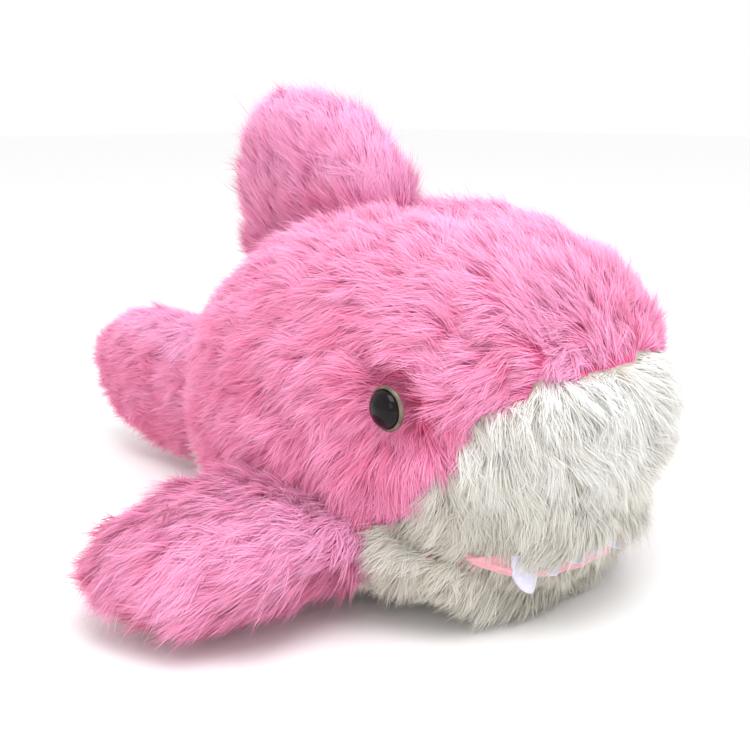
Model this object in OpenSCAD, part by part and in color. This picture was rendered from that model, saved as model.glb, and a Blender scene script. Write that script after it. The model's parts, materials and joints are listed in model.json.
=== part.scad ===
// Plush shark: a long-pile toy lying on its belly, with a dorsal fin, two
// pectoral fins and a tail fin sewn on at their roots.
// Millimetres. +X is the nose, +Y the shark's left side, +Z up, the floor at 0.

/* [Body] */
// Length of the body from the rump to the tip of the nose
body_length = 244; // [200:1:300]
// Width of the body where it is widest
body_width = 162; // [130:1:200]
// Height of the back above the floor
body_height = 148; // [120:1:180]
// Height of the tip of the nose
nose_height = 78; // [68:1:90]
// Height of the middle of the rump
rump_height = 48; // [40:1:58]
// Height of the seam between the sides and the belly
side_seam_height = 24; // [20:1:30]
// Pile and backing together, over the body
pile = 8; // [6:0.5:10]
// Gap left along a sewn seam
seam_gap = 0.4; // [0.2:0.1:0.6]
// Gap between two layers that lie on each other
layer_gap = 0.3; // [0.2:0.1:0.5]

/* [Mouth] */
// How far the mouth corners lie behind the tip of the nose
mouth_depth = 54; // [46:1:62]
// Height of the mouth corners
mouth_corner_height = 42; // [38:1:50]
// How far the chin stands back from the tip of the nose
chin_setback = 23; // [19:1:28]
// Height of the lower lip at the front of the chin
lower_lip_height = 22; // [18:1:26]
// Height of the upper lip's edge under the nose
upper_lip_height = 31; // [28:1:36]
// Thickness of the lining cloth
lining = 1.6; // [1:0.2:2.4]
// Number of felt teeth
tooth_count = 6; // [4:1:7]
// Width of one tooth at its root
tooth_width = 10; // [7:0.5:12]
// Drop of one tooth from root to point
tooth_drop = 13; // [8:0.5:15]
// Thickness of the felt
felt = 1.6; // [1:0.2:2.4]

/* [Eyes] */
// Width of the black pupil dome
pupil_width = 13; // [10:0.5:15]
// Width of the ring round the pupil
eye_ring_width = 15.6; // [13:0.2:18]
// Height of the pupil dome above its ring's back
eye_dome = 6; // [4:0.5:8]
// How far behind the tip of the nose the eyes sit
eye_setback = 55; // [50:1:62]
// Height of the eyes
eye_height = 86; // [80:1:92]
// How deep the eyes are pulled into the pile
eye_sink = 5; // [3:0.5:6]
// Thickness of the shank that holds an eye
shank_width = 4; // [3:0.5:5]
// Width of the washer that locks an eye inside
washer_width = 16; // [12:1:20]
// Thickness of that washer
washer_thick = 2; // [1.5:0.5:3]

/* [Pectoral fins] */
// Width over both pectoral fins
fin_span = 282; // [250:1:320]
// Length of a pectoral fin along the body
pectoral_chord = 84; // [68:1:100]
// Thickness of a pectoral fin
pectoral_thick = 46; // [38:1:52]
// How far behind the nose the middle of a fin's root sits
pectoral_setback = 108; // [100:1:124]
// Height of a pectoral fin's root seam
pectoral_height = 36; // [32:1:42]
// How far the tip of a pectoral fin hangs below its root
pectoral_droop = 15; // [10:1:18]
// How far the tip of a pectoral fin is swept back
pectoral_sweep = 14; // [6:1:24]

/* [Dorsal fin] */
// Height of the dorsal fin's top above the floor
dorsal_top = 187; // [178:1:212]
// Length of the dorsal fin along the back
dorsal_chord = 99; // [82:1:116]
// Thickness of the dorsal fin
dorsal_thick = 42; // [34:1:50]
// How far behind the nose the middle of the dorsal fin sits
dorsal_setback = 167; // [154:1:180]
// How far the top of the dorsal fin leans back
dorsal_lean = 10; // [2:1:16]

/* [Tail fin] */
// Length of the tail fin behind the rump
tail_length = 112; // [92:1:132]
// Height of the tail fin
tail_chord = 84; // [68:1:88]
// Thickness of the tail fin
tail_thick = 38; // [30:1:46]
// Height of the middle of the tail fin
tail_height = 42; // [42:1:52]
// How much higher the end of the tail fin is
tail_rise = 4; // [2:1:12]

/* [Fins, shared] */
// Pile and backing together, over a fin
fin_pile = 6; // [4:0.5:8]
// Gap between a fin's root and the body
root_gap = 0.8; // [0.6:0.1:1.2]

/* [Hidden] */

LEFT = 1;
RIGHT = -1;
TOP = 1;
UNDER = -1;
PINK = [0.95, 0.52, 0.72];
WHITE = [0.96, 0.95, 0.93];
STUFFING = [0.9, 0.9, 0.92];

// Where along the body each outline is fullest, as a share of its length
WIDEST = 0.565;
HIGHEST = 0.463;
DEEPEST = 0.5;
// How each outline rounds off, from its fullest place to the rump and to the
// nose: a higher first number stays full for longer, a higher second ends blunter
SIDE_TO_RUMP = [1.65, 1.8];
SIDE_TO_NOSE = [2.6, 2];
BACK_TO_RUMP = [1.8, 1.8];
BACK_TO_NOSE = [2, 2];
BELLY_TO_RUMP = [5, 2];
BELLY_TO_CHIN = [3.7, 2];
// How boxy a cross-section is: 2 is an ellipse
BODY_SQUARENESS = 2.25;
BELLY_SQUARENESS = 2.7;
CHIN_SQUARENESS = 1.9;
// How much narrower the muzzle is underneath than at its middle, as a share
JOWL_TAPER = 0.34;
// How far the rounded underside would reach below the floor, pressed flat
PRESSED_FLAT = 6;
// How far behind the tip of the nose the brow seam crosses it
BROW_SETBACK = 5;
// Lengths over which the side seam rises to the mouth corner and to the rump
CHEEK_RUN = 50;
RUMP_RUN = 40;
// How far behind the mouth corners the mouth ends, and how steep its back is
THROAT_DEPTH = 26;
THROAT_RUN = 12;
// How close to a round end the panels and the stuffing come, as a share
END = 0.0006;

function mix(a, b, t) = a + (b - a) * t;
function clamp01(t) = min(max(t, 0), 1);
function ease(t) = let(k = clamp01(t)) k * k * (3 - 2 * k);
function rounded(t, bend, root) = pow(max(0, 1 - pow(clamp01(t), bend)), 1 / root);
function soft(v, squareness) = pow(max(v, 0), 2 / squareness);
function steps(n, from = 0, to = 1) = [for (i = [0:n]) mix(from, to, i / n)];
// Steps that crowd towards both ends, for round ends
function end_steps(n, from = 0, to = 1) =
    [for (i = [0:n]) mix(from, to, (1 - cos(180 * i / n)) / 2)];

// ---- The body's outer shape ------------------------------------------------

total_length = body_length + root_gap + tail_length;
nose_x = total_length / 2;
rump_x = nose_x - body_length;
chin_x = nose_x - chin_setback;
corner_x = nose_x - mouth_depth;
throat_x = corner_x - THROAT_DEPTH;

// Share of the full size at u along the body, where 0 is the rump and 1 the nose
function along(u, fullest, rear, front) =
    u < fullest
        ? rounded((fullest - u) / fullest, rear[0], rear[1])
        : rounded((u - fullest) / (1 - fullest), front[0], front[1]);
function share_at(x, deep = 0) = clamp01((x - rump_x - deep) / (body_length - 2 * deep));
function x_at(u, deep = 0) = rump_x + deep + u * (body_length - 2 * deep);
function middle(u) = mix(rump_height, nose_height, u);
full_rise = body_height - middle(HIGHEST);
function half_width(u, deep) =
    (body_width / 2 - deep) * along(u, WIDEST, SIDE_TO_RUMP, SIDE_TO_NOSE);
function rise(u, deep) = (full_rise - deep) * along(u, HIGHEST, BACK_TO_RUMP, BACK_TO_NOSE);
function depth(u, deep) =
    (middle(u) + PRESSED_FLAT - deep) * along(u, DEEPEST, BELLY_TO_RUMP, BELLY_TO_CHIN);

// A point on the left of the body, deep below the tips of the pile. turn is 0
// on top of the back, 90 at the side and 180 underneath.
function body_point(u, turn, deep) =
    let(
        up = cos(turn),
        narrowed = 1 - JOWL_TAPER * ease((u - WIDEST) / (1 - WIDEST)) * max(-up, 0),
        out = half_width(u, deep) * narrowed * soft(abs(sin(turn)), BODY_SQUARENESS),
        lift = soft(abs(up), BODY_SQUARENESS),
        z = middle(u) + (up > 0 ? rise(u, deep) : -depth(u, deep)) * lift
    )
    [x_at(u, deep), sin(turn) < 0 ? -out : out, max(z, deep)];

// The turn at which the body's side is at the height z
function turn_at(u, z) =
    let(
        above = z - middle(u),
        reach = above > 0 ? rise(u, 0) : depth(u, 0),
        share = pow(clamp01(abs(above) / max(reach, 0.01)), BODY_SQUARENESS / 2)
    )
    above > 0 ? acos(share) : 180 - acos(share);
function half_at(x, z) = let(u = share_at(x)) body_point(u, turn_at(u, z), 0)[1];

// ---- Seams and lips --------------------------------------------------------

// Height of the seam between a side and the belly, behind the mouth corner
function seam_height(x) =
    side_seam_height
    + (mouth_corner_height - side_seam_height)
        * ease((x - corner_x + CHEEK_RUN) / CHEEK_RUN)
    + (rump_height - side_seam_height) * ease((rump_x + RUMP_RUN - x) / RUMP_RUN);
function seam_turn(u) =
    let(back = min(u, share_at(corner_x))) turn_at(back, seam_height(x_at(back)));
corner_turn = seam_turn(1);
corner_half = half_at(corner_x, mouth_corner_height);

// How far behind the tip of the nose the middle of the upper lip is
LIP_SETBACK = 11;
// How late the muzzle's edge turns back, over the brow and along the upper lip
BROW_SQUARENESS = 2.6;
LIP_SQUARENESS = 2.2;
// How far the teeth stand behind the lip, and how much tighter their curve is
TEETH_SETBACK = 2.5;
LIP_BEND = 0.72;
lip_front = share_at(nose_x - LIP_SETBACK);

// Where the white muzzle begins, from the brow round to the mouth corner and
// back along the upper lip, as a share of the body's length
function muzzle_start(turn) =
    let(
        t = abs(turn),
        brow = share_at(nose_x - BROW_SETBACK),
        corner = share_at(corner_x)
    )
    t < corner_turn
        ? mix(brow, corner, pow(t / corner_turn, BROW_SQUARENESS))
        : mix(lip_front, corner, pow((180 - t) / (180 - corner_turn), LIP_SQUARENESS));

// How quickly the lower lip drops from the mouth corners
LIP_DROP = 1.5;
// Length over which the chin rounds up to the lower lip
CHIN_RUN = 30;
// How far the belly would sink into the floor, were it not pressed flat there
RESTING = 1.5;

// The lower lip runs from the mouth corners round the front of the chin
function lip_share(x) = clamp01((x - corner_x) / (chin_x - corner_x));
function edge_height(x) =
    x < corner_x
        ? seam_height(x)
        : mix(lower_lip_height, mouth_corner_height, pow(1 - lip_share(x), LIP_DROP));
belly_steps = end_steps(30, END, 1 - END * 4);
function belly_x(v, deep) = mix(rump_x + deep, chin_x - deep, v);

// A point on the belly and chin. v is 0 at the rump and 1 at the chin; turn is
// 0 at the left edge, 90 underneath and 180 at the right edge.
function belly_point(v, turn, deep) =
    let(
        x = belly_x(v, 0),
        u = share_at(x),
        top = edge_height(x),
        half = x < corner_x
            ? body_point(u, seam_turn(u), deep)[1]
            : (corner_half - deep) * rounded(lip_share(x), 2, 2),
        chin_share = (x - chin_x + CHIN_RUN) / CHIN_RUN,
        under = u < DEEPEST ? max(middle(u) - depth(u, deep), deep) : deep,
        low = min(max(under, deep + top * (1 - rounded(chin_share, 3, 2))), top),
        squareness = mix(BELLY_SQUARENESS, CHIN_SQUARENESS, ease((x - throat_x) / CHIN_RUN)),
        out = half * soft(abs(cos(turn)), squareness),
        rim = min(top, edge_height(belly_x(v, deep)))
    )
    [belly_x(v, deep), cos(turn) > 0 ? out : -out,
        mix(rim, low - (deep > 0 ? 0 : RESTING), soft(sin(turn), squareness))];

// Half the width of the body's side at the height z, above or below the seam
function side_at(x, z) =
    let(
        u = share_at(x),
        top = seam_height(x),
        low = max(middle(u) - depth(u, 0), 0) - RESTING,
        under = body_point(u, seam_turn(u), 0)[1]
            * rounded((top - z) / (top - low), BELLY_SQUARENESS, BELLY_SQUARENESS)
    )
    z < top ? max(under, half_at(x, z)) : half_at(x, z);

// How far the roof of the mouth is above its corners, and above the upper lip
PALATE_REAR = 3;
PALATE_FRONT = 6;
function palate_height(x) =
    mix(mouth_corner_height + PALATE_REAR, upper_lip_height + PALATE_FRONT,
        ease((x - corner_x) / (nose_x - LIP_SETBACK - corner_x)));

// ---- Turning grids of points into closed solids ----------------------------

function flip(faces) = [for (f = faces) [f[2], f[1], f[0]]];

// A sheet with thickness, between an outer and an inner grid of points
module shell(outer, inner, inside_out = false) {
    rows = len(outer);
    cols = len(outer[0]);
    other = rows * cols;
    function at(i, j) = i * cols + j;
    faces = [
        for (i = [0:rows - 2]) for (j = [0:cols - 2])
            let(a = at(i, j), b = at(i + 1, j), c = at(i + 1, j + 1), d = at(i, j + 1))
            each [
                [a, b, c], [a, c, d],
                [other + c, other + b, other + a], [other + d, other + c, other + a],
            ],
        for (i = [0:rows - 2])
            let(a = at(i, 0), b = at(i + 1, 0), c = at(i, cols - 1), d = at(i + 1, cols - 1))
            each [
                [b, a, other + a], [b, other + a, other + b],
                [c, d, other + d], [c, other + d, other + c],
            ],
        for (j = [0:cols - 2])
            let(a = at(0, j), b = at(0, j + 1), c = at(rows - 1, j), d = at(rows - 1, j + 1))
            each [
                [a, b, other + b], [a, other + b, other + a],
                [d, c, other + c], [d, other + c, other + d],
            ],
    ];
    points = [for (grid = [outer, inner]) for (row = grid) for (p = row) p];
    polyhedron(points, inside_out ? flip(faces) : faces);
}

// A closed solid through rings of points, closed at both ends
module loft(rings, inside_out = false) {
    cols = len(rings[0]);
    rows = len(rings);
    function at(i, j) = i * cols + j % cols;
    // The ends are strips between opposite points, so a thin end can be curved
    ends = [for (k = [0:cols]) if (k + 1 < cols - k) each
        k == 0 ? [[0, 1, cols - 1]]
        : k + 1 == cols - k - 1 ? [[k, k + 1, cols - k]]
        : [[k, k + 1, cols - k - 1], [k, cols - k - 1, cols - k]]];
    last = (rows - 1) * cols;
    faces = [
        for (i = [0:rows - 2]) for (j = [0:cols - 1]) each [
            [at(i, j), at(i + 1, j), at(i + 1, j + 1)],
            [at(i, j), at(i + 1, j + 1), at(i, j + 1)],
        ],
        for (f = ends) each [f, [last + f[2], last + f[1], last + f[0]]],
    ];
    points = [for (ring = rings) for (p = ring) p];
    polyhedron(points, inside_out ? flip(faces) : faces);
}

// ---- Body panels, linings and stuffing -------------------------------------

// Turns down a side from the top of the back to the seam, and the mouth's on
SIDE_STEPS = 16;
half_turns = concat(steps(SIDE_STEPS, 0, corner_turn), steps(8, corner_turn + 9, 180));
last_turn = len(half_turns) - 1;
lip_turns = concat(
    [for (i = [last_turn:-1:1]) -half_turns[i]],
    [for (i = [0:last_turn - 1]) half_turns[i]]
);
// Degrees that half a seam's gap takes at the side of the body
gap_turn = seam_gap / body_width * 360 / PI;

module side_panel() {
    function grid(deep) = [
        for (s = end_steps(22, 0, 1)) [
            for (t = steps(SIDE_STEPS)) let(
                front = muzzle_start(mix(0, corner_turn - 0.001, t)),
                u = mix(END, front - seam_gap / 2 / body_length, s),
                low = seam_turn(u) - gap_turn
            )
            body_point(u, mix(gap_turn, low, t), deep)
        ]
    ];
    shell(grid(0), grid(pile), true);
}

module left_side_panel() {
    difference() {
        side_panel();
        at_left_eye() socket();
    }
}

module back_left() {
    color(PINK) left_side_panel();
}

module back_right() {
    color(PINK) mirror([0, 1, 0]) left_side_panel();
}

module belly_and_chin() {
    function grid(deep) = [
        for (v = belly_steps) [for (turn = steps(18, 0, 180)) belly_point(v, turn, deep)]
    ];
    color(WHITE) difference() {
        shell(grid(0), grid(pile), true);
        translate([-body_length, -body_width, -body_width])
            cube([2 * body_length, 2 * body_width, body_width]);
    }
}

// How close to the tip of the nose the muzzle's rings come, as a share of it
MUZZLE_TIP = 0.03;

module muzzle() {
    function ring(k, deep) = [
        for (turn = lip_turns) let(
            start = muzzle_start(turn) + seam_gap / 2 / body_length,
            u = 1 - (1 - start) * k * k
        )
        body_point(u, turn, deep)
    ];
    color(WHITE) loft(concat(
        [for (k = steps(8, MUZZLE_TIP, 1)) ring(k, pile)],
        [for (k = steps(8, 1, MUZZLE_TIP)) ring(k, 0)]
    ), true);
}

// A flat cloth sheet between two lengths, half as wide as half(x), at height(x)
module mouth_cloth(x0, x1, halves, heights) {
    rows = len(halves);
    function grid(lift) = [
        for (i = [0:rows - 1]) [
            for (c = [-1:0.25:1])
                [mix(x0, x1, i / (rows - 1)), c * halves[i], heights[i] + lift]
        ]
    ];
    shell(grid(lining), grid(0), true);
}

module palate_lining() {
    x0 = throat_x + THROAT_RUN;
    x1 = x_at(lip_front, pile) - LIP_SETBACK / 2;
    places = [for (s = steps(10)) mix(x0, x1, s)];
    color(PINK) mouth_cloth(
        x0, x1,
        [for (x = places) filling_half(x) - 2 * lining],
        [for (x = places) palate_height(x)]
    );
}

module chin_lining() {
    x0 = throat_x + THROAT_RUN;
    x1 = chin_x - pile / 2;
    places = [for (s = steps(10)) mix(x0, x1, s)];
    color(PINK) mouth_cloth(
        x0, x1,
        [for (x = places) min(
            filling_half(x) - lining,
            (corner_half - pile - 3 * lining) * rounded(lip_share(x), 2, 2)
        )],
        [for (x = places) edge_height(x) + layer_gap]
    );
}

// Half the width of the space inside the muzzle at the roof of the mouth
function filling_half(x) =
    let(u = share_at(x, pile + layer_gap))
    body_point(u, turn_at(u, palate_height(x)), pile + layer_gap)[1];

// The felt hangs on a curve just inside the upper lip, which its arc length
// follows: half of it is on each side of the middle
module felt_teeth() {
    parts = 4;
    columns = tooth_count * parts;
    lip = body_point(lip_front, 180, pile + layer_gap) - [TEETH_SETBACK, 0, 0];
    bend = body_point(lip_front, 90, pile + layer_gap)[1] * LIP_BEND;
    function point(j, low, deep) =
        let(
            arc = (j / columns - 0.5) * tooth_count * tooth_width / bend * 180 / PI,
            radius = bend - deep,
            phase = abs((j % parts) / (parts / 2) - 1),
            x = lip[0] - bend + radius * cos(arc),
            chin = x < chin_x + lining ? edge_height(x) + lining + 2 * layer_gap : 0,
            tip = upper_lip_height - tooth_drop * (1 - phase)
        )
        [x, radius * sin(arc), low ? max(tip, chin) : palate_height(nose_x) - layer_gap];
    function grid(deep) = [
        for (low = [false, true]) [for (j = [0:columns]) point(j, low, deep)]
    ];
    color(WHITE) shell(grid(0), grid(felt), true);
}

module body_filling() {
    deep = pile + layer_gap;
    throat_steps = [for (k = [1:4]) share_at(throat_x + THROAT_RUN * k / 4, deep)];
    function ring(u) =
        let(
            x = x_at(u, deep),
            mouth = ease((x - throat_x) / THROAT_RUN),
            edge = mix(seam_height(x), palate_height(x) + lining + layer_gap, mouth),
            end = turn_at(u, edge),
            last = body_point(u, end, deep),
            low = mix(body_point(u, 180, deep)[2], last[2], mouth)
        )
        concat(
            [for (turn = steps(18, -end, end)) body_point(u, turn, deep)],
            [for (turn = steps(10, 0, 180)) if (turn > 0 && turn < 180) [
                x,
                (cos(turn) > 0 ? 1 : -1) * last[1] * soft(abs(cos(turn)), BELLY_SQUARENESS),
                mix(last[2], low, soft(sin(turn), BELLY_SQUARENESS)),
            ]]
        );
    color(STUFFING) difference() {
        loft([
            each [for (u = end_steps(22, END * 6, share_at(throat_x, deep))) ring(u)],
            each [for (u = throat_steps) ring(u)],
            each [for (u = end_steps(9, share_at(throat_x + THROAT_RUN, deep), 1 - END * 6))
                if (u > throat_steps[3]) ring(u)],
        ], true);
        at_left_eye() washer_pocket();
        mirror([0, 1, 0]) at_left_eye() washer_pocket();
    }
}

module chin_filling() {
    deep = pile + 2 * layer_gap;
    start = (throat_x + THROAT_RUN + layer_gap - belly_x(0, deep))
        / (belly_x(1, deep) - belly_x(0, deep));
    inner_steps = concat([start], [for (v = belly_steps) if (v > start + 0.005 && v < 0.96) v]);
    color(STUFFING) loft([
        for (v = inner_steps) [
            for (turn = steps(18, 0, 180)) belly_point(v, turn, deep) - [0, 0, layer_gap]
        ]
    ], true);
}

// ---- Eyes ------------------------------------------------------------------

// The eyes look a hair behind straight sideways
EYE_TURN = -1;
// How far the body curves in over the washer, from its middle to its rim
function curve_at(turn) =
    let(x = nose_x - eye_setback, forward = washer_width / 2 * cos(turn))
    half_at(x, eye_height) - forward * sin(EYE_TURN)
        - half_at(x + forward, eye_height + washer_width / 2 * sin(turn));
washer_curve = max([for (turn = [0:15:345]) curve_at(turn)]);
// How far the washer lies under the backing, besides that curve
WASHER_CLEARANCE = 1.6;
washer_place = eye_sink - pile - washer_curve - WASHER_CLEARANCE;

module at_left_eye() {
    u = share_at(nose_x - eye_setback);
    translate(body_point(u, turn_at(u, eye_height), eye_sink))
        rotate([-90, 0, -EYE_TURN])
            children();
}

module socket() {
    translate([0, 0, -layer_gap]) cylinder(d = eye_ring_width + 2, h = 4 * eye_sink, $fn = 48);
    cylinder(d = shank_width + layer_gap * 2, h = 4 * pile, center = true, $fn = 32);
}

module washer_pocket() {
    translate([0, 0, washer_place - washer_thick - 3])
        cylinder(d = washer_width + 1, h = pile * 2, $fn = 48);
}

module eye() {
    flat = 1.5;
    radius = (pow(pupil_width / 2, 2) + pow(eye_dome - flat, 2)) / (2 * (eye_dome - flat));
    intersection() {
        translate([0, 0, eye_dome - radius]) sphere(r = radius, $fn = 72);
        cylinder(d = pupil_width, h = eye_dome + 1, $fn = 72);
    }
    translate([0, 0, washer_place - washer_thick - 2])
        cylinder(d = shank_width, h = 3 - washer_place + washer_thick, $fn = 32);
}

module eye_ring() {
    inner = pupil_width / 2 + 0.15;
    bead = (eye_ring_width / 2 - inner) / 2;
    rotate_extrude($fn = 72) translate([inner + bead, bead * 0.9]) circle(r = bead, $fn = 24);
}

module eye_washer() {
    translate([0, 0, washer_place - washer_thick])
        difference() {
            cylinder(d = washer_width, h = washer_thick, $fn = 48);
            cylinder(d = shank_width + 0.2, h = washer_thick * 3, center = true, $fn = 32);
        }
}

module eye_left() {
    color([0.05, 0.05, 0.06]) at_left_eye() eye();
}

module eye_right() {
    color([0.05, 0.05, 0.06]) mirror([0, 1, 0]) at_left_eye() eye();
}

module eye_ring_left() {
    color([0.72, 0.62, 0.52]) at_left_eye() eye_ring();
}

module eye_ring_right() {
    color([0.72, 0.62, 0.52]) mirror([0, 1, 0]) at_left_eye() eye_ring();
}

module eye_washer_left() {
    color([0.85, 0.85, 0.85]) at_left_eye() eye_washer();
}

module eye_washer_right() {
    color([0.85, 0.85, 0.85]) mirror([0, 1, 0]) at_left_eye() eye_washer();
}

// ---- Fins ------------------------------------------------------------------

// For each fin: the width of its root and the length that it thickens over, both
// as shares, and how blunt its tip is
PECTORAL_SHAPE = [0.9, 0.24, 4];
DORSAL_SHAPE = [1, 0.3, 2.8];
TAIL_SHAPE = [0.84, 0.3, 2.8];
// Share of its length over which a fin widens from its root
FIN_WIDENS = 0.45;
// How a fin's thickness rounds off towards its tip, and across it
THIN_TO_TIP = [3.5, 2];
THIN_ACROSS = [2.5, 1.9];
// How late a pectoral fin sweeps back
SWEEP_BEND = 1.5;

// A fin's own shape: s runs from its root to its tip and c across it from -1
// to 1. Each gives [share of the length, distance across, height above its middle].
function fin_point(s, c, face, deep, length, chord, thick, shape) =
    let(
        reach = mix(shape[0], 1, ease(s / FIN_WIDENS)) * rounded(s, shape[2], 2),
        body = sin(90 * clamp01(s / shape[1]))
            * rounded(s, THIN_TO_TIP[0], THIN_TO_TIP[1])
            * rounded(abs(c), THIN_ACROSS[0], THIN_ACROSS[1])
    )
    [
        mix(deep, length - deep, s) / length,
        c * (chord / 2 - deep) * reach,
        face * (seam_gap / 4 + (thick / 2 - deep) * body),
    ];

across_steps = [for (i = [0:12]) -cos(15 * i)];
TIP = 0.997;

function pectoral_place(p) =
    let(
        f = p[0],
        root_x = nose_x - pectoral_setback,
        x = root_x + p[1] - pectoral_sweep * pow(f, SWEEP_BEND),
        root_y = side_at(root_x + p[1], max(pectoral_height + p[2], 0)) + root_gap
    )
    [x, mix(root_y, fin_span / 2, f), max(pectoral_height - pectoral_droop * f + p[2], 0)];
function pectoral_point(s, c, face, deep) =
    pectoral_place(fin_point(
        s, c, face, deep, fin_span / 2 - half_at(nose_x - pectoral_setback, pectoral_height),
        pectoral_chord, pectoral_thick, PECTORAL_SHAPE
    ));

function dorsal_place(p) =
    let(
        f = p[0],
        x = nose_x - dorsal_setback + p[1] - dorsal_lean * f,
        root_z = body_point(share_at(nose_x - dorsal_setback + p[1]), 0, 0)[2] + root_gap
    )
    [x, p[2], mix(root_z, dorsal_top, f)];
function dorsal_point(s, c, face, deep) =
    dorsal_place(fin_point(
        s, c, face, deep, dorsal_top - body_height, dorsal_chord, dorsal_thick, DORSAL_SHAPE
    ));

// The rump's outline from the side, which the tail fin's root follows: the
// shortest share of the body that reaches the height z is found by halving
HALVINGS = 14;
function reaches(u, z) = z < middle(u) + rise(u, 0) && z > middle(u) - depth(u, 0) - RESTING;
function rump_share(z, low = 0, high = DEEPEST, left = HALVINGS) =
    let(u = (low + high) / 2)
    left == 0 ? low
        : reaches(u, z) ? rump_share(z, low, u, left - 1)
        : rump_share(z, u, high, left - 1);
function tail_place(p) =
    let(f = p[0], z = tail_height + p[1] + tail_rise * f)
    [mix(x_at(rump_share(z)) - root_gap, -total_length / 2, f), p[2], z];
function tail_point(s, c, face, deep) =
    tail_place(fin_point(
        s, c, face, deep, tail_length, tail_chord, tail_thick, TAIL_SHAPE
    ));

module pectoral_skin(face) {
    function grid(deep) = [
        for (s = end_steps(14, 0, TIP)) [for (c = across_steps) pectoral_point(s, c, face, deep)]
    ];
    shell(grid(0), grid(fin_pile), face == UNDER);
}

module dorsal_skin(face) {
    function grid(deep) = [
        for (s = end_steps(14, 0, TIP)) [for (c = across_steps) dorsal_point(s, c, face, deep)]
    ];
    shell(grid(0), grid(fin_pile), face == LEFT);
}

module tail_skin(face) {
    function grid(deep) = [
        for (s = end_steps(14, 0, TIP)) [for (c = across_steps) tail_point(s, c, face, deep)]
    ];
    shell(grid(0), grid(fin_pile), face == LEFT);
}

fin_deep = fin_pile + layer_gap;
fin_inner_steps = [for (i = [1:13]) end_steps(14, 0, TIP)[i]];
function round_trip(list) = concat(
    [for (c = list) [c, 1]],
    [for (i = [len(list) - 2:-1:1]) [list[i], -1]]
);

module pectoral_filling() {
    loft([for (s = fin_inner_steps) [
        for (q = round_trip(across_steps)) pectoral_point(s, q[0], q[1], fin_deep)
    ]]);
}

module pectoral_left_top() {
    color(PINK) pectoral_skin(TOP);
}

module pectoral_left_underside() {
    color(PINK) pectoral_skin(UNDER);
}

module pectoral_left_filling() {
    color(STUFFING) pectoral_filling();
}

module pectoral_right_top() {
    color(PINK) mirror([0, 1, 0]) pectoral_skin(TOP);
}

module pectoral_right_underside() {
    color(PINK) mirror([0, 1, 0]) pectoral_skin(UNDER);
}

module pectoral_right_filling() {
    color(STUFFING) mirror([0, 1, 0]) pectoral_filling();
}

module dorsal_side_left() {
    color(PINK) dorsal_skin(LEFT);
}

module dorsal_side_right() {
    color(PINK) dorsal_skin(RIGHT);
}

module dorsal_filling() {
    color(STUFFING) loft([for (s = fin_inner_steps) [
        for (q = round_trip(across_steps)) dorsal_point(s, q[0], q[1], fin_deep)
    ]], true);
}

module tail_side_left() {
    color(PINK) tail_skin(LEFT);
}

module tail_side_right() {
    color(PINK) tail_skin(RIGHT);
}

module tail_filling() {
    color(STUFFING) loft([for (s = fin_inner_steps) [
        for (q = round_trip(across_steps)) tail_point(s, q[0], q[1], fin_deep)
    ]], true);
}

back_left();
back_right();
belly_and_chin();
muzzle();
palate_lining();
chin_lining();
felt_teeth();
body_filling();
chin_filling();
eye_left();
eye_right();
eye_ring_left();
eye_ring_right();
eye_washer_left();
eye_washer_right();
pectoral_left_top();
pectoral_left_underside();
pectoral_left_filling();
pectoral_right_top();
pectoral_right_underside();
pectoral_right_filling();
dorsal_side_left();
dorsal_side_right();
dorsal_filling();
tail_side_left();
tail_side_right();
tail_filling();
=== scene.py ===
import json
import math

import bmesh
import bpy
import numpy as np
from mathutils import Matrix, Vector, kdtree
from mathutils.bvhtree import BVHTree


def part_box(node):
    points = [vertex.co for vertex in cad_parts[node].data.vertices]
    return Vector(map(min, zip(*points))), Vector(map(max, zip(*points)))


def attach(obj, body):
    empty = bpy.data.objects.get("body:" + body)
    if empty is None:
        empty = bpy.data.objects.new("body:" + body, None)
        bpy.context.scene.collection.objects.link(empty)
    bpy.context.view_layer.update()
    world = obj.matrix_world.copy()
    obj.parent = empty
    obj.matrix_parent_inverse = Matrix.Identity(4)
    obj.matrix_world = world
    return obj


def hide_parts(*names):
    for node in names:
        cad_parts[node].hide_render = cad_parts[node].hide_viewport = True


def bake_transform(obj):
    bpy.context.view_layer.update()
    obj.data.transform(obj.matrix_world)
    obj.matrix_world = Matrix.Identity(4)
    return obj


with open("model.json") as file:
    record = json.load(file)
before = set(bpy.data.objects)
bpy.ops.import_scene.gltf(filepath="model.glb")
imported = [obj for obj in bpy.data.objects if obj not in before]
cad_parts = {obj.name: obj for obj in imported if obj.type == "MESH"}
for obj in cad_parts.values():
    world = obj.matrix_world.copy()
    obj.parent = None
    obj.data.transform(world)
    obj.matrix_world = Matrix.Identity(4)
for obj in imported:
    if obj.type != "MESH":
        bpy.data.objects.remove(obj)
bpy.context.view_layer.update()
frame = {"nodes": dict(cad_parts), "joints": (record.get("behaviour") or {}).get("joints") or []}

MM = 0.001
nodes = frame["nodes"]
hinges = {j["child"]: Vector(j["pos_m"]) for j in frame["joints"]}

# ---- Camera, at the photograph's viewing angle ------------------------------

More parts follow.
